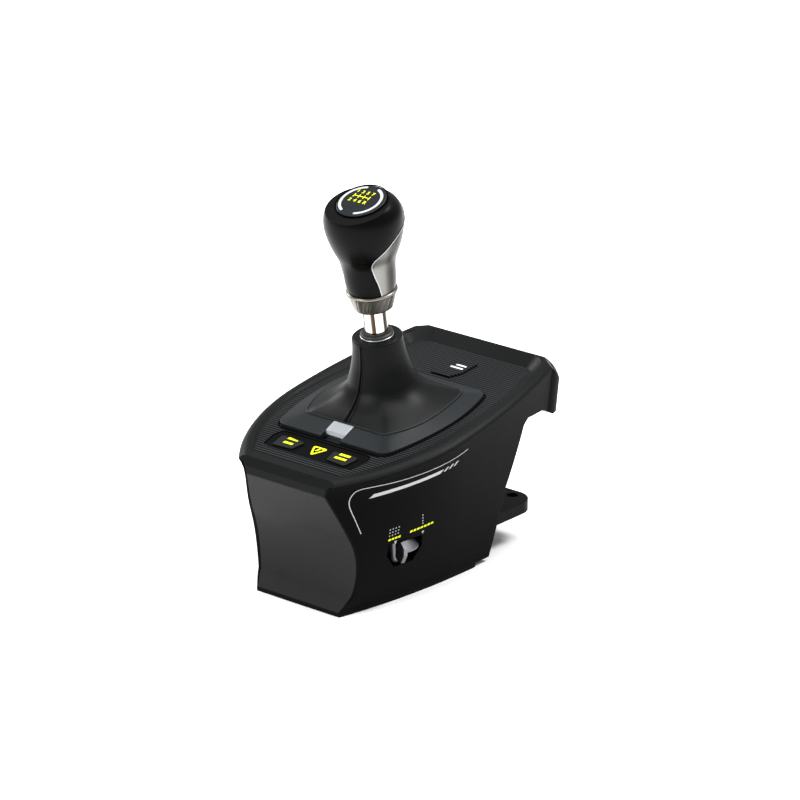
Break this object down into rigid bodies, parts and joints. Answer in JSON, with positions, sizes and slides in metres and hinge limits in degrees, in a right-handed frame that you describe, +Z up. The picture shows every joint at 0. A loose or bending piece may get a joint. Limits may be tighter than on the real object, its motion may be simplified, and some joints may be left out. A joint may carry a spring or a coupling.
{
  "type": "sim racing gear shifter",
  "caption": "Desk-clamped gear shifter for racing simulators: flared housing with a tray top, booted lever on a gated gimbal, panel buttons and a side mode lever.",
  "frame": {"origin": "centre of the base plate's underside", "axes": "+Z up from the base, +Y away from the driver towards the desk, +X to the driver's right"},
  "size_m": [0.154, 0.2236, 0.271],
  "materials": {
    "black_abs": "matte",
    "graphite_abs": "satin",
    "mat_rubber": "textured",
    "button_abs": "satin",
    "powder_steel": "matte",
    "steel": "brushed",
    "chrome_steel": "polished",
    "satin_alloy": "satin",
    "brass": "turned",
    "leatherette": "grained",
    "grip_polymer": "soft touch",
    "board_laminate": "gloss",
    "nylon": "matte"
  },
  "bodies": {
    "housing": {"base_plate": "powder_steel", "shell_screws": "steel", "frame_screws": "steel", "shelf_screws": "steel", "mount_inserts": "brass", "clamp_shelf": "powder_steel", "shelf_posts": "steel", "left_shell": "black_abs", "right_shell": "black_abs", "front_fascia": "graphite_abs", "top_deck": "graphite_abs", "deck_mat": "mat_rubber", "boot_bezel": "graphite_abs", "bezel_clip": "satin_alloy", "button_panel": "graphite_abs", "front_button_board": "board_laminate", "rear_button_board": "board_laminate", "left_button_spring": "steel", "right_button_spring": "steel", "rear_button_spring": "steel", "mechanism_frame": "powder_steel", "gate_plate": "steel", "gate_screws": "steel", "trunnion_bushes": "brass", "select_sensor_legs": "nylon", "select_sensor_board": "board_laminate", "selector_cup": "black_abs", "mode_pin": "steel", "mode_detent": "steel", "mode_switch_board": "board_laminate", "rear_inlet": "black_abs", "main_board": "board_laminate", "board_standoffs": "nylon", "boot_skirt": "leatherette", "centring_spring_left": "steel", "centring_spring_right": "steel"},
    "cradle": {"cradle": "satin_alloy", "axle_bushes": "brass", "detent_plunger": "steel", "select_magnet": "steel", "shift_sensor_board": "board_laminate"},
    "lever": {"lever_hub": "satin_alloy", "shift_axle": "steel", "shift_magnet": "steel", "lever_arm": "steel", "lever_shaft": "chrome_steel", "boot_sleeve": "leatherette", "boot_ring": "satin_alloy", "shaft_bush": "nylon", "knob_ferrule": "satin_alloy", "knob_core": "satin_alloy", "knob_grip": "grip_polymer", "knob_back_insert": "satin_alloy", "knob_cap": "grip_polymer"},
    "mode_selector": {"mode_lever": "button_abs"},
    "left_button": {"left_button": "button_abs"},
    "right_button": {"right_button": "button_abs"},
    "rear_button": {"rear_button": "button_abs"}
  },
  "joints": [
    {"name": "select_tilt", "type": "hinge", "parent": "housing", "child": "cradle", "pos_m": [0, 0.03, 0.078], "axis": [0, 1, 0], "range_deg": [-6.5, 13], "stiffness_Nm_per_rad": 3, "deforming": ["centring_spring_left", "centring_spring_right", "boot_skirt", "boot_sleeve"]},
    {"name": "shift_swing", "type": "hinge", "parent": "cradle", "child": "lever", "pos_m": [0, 0.03, 0.078], "axis": [1, 0, 0], "range_deg": [-12, 12], "deforming": ["boot_skirt", "boot_sleeve"]},
    {"name": "mode_turn", "type": "hinge", "parent": "housing", "child": "mode_selector", "pos_m": [0.043, -0.0175, 0.037], "axis": [0, 0, 1], "range_deg": [0, 60]},
    {"name": "left_press", "type": "slide", "parent": "housing", "child": "left_button", "axis": [0, 0.1609, -0.987], "range_m": [0, 0.0012], "stiffness_N_per_m": 600, "springref_m": -0.001, "deforming": ["left_button_spring"]},
    {"name": "right_press", "type": "slide", "parent": "housing", "child": "right_button", "axis": [0, 0.1609, -0.987], "range_m": [0, 0.0012], "stiffness_N_per_m": 600, "springref_m": -0.001, "deforming": ["right_button_spring"]},
    {"name": "rear_press", "type": "slide", "parent": "housing", "child": "rear_button", "axis": [0, 0.1068, -0.9943], "range_m": [0, 0.0012], "stiffness_N_per_m": 600, "springref_m": -0.001, "deforming": ["rear_button_spring"]}
  ]
}
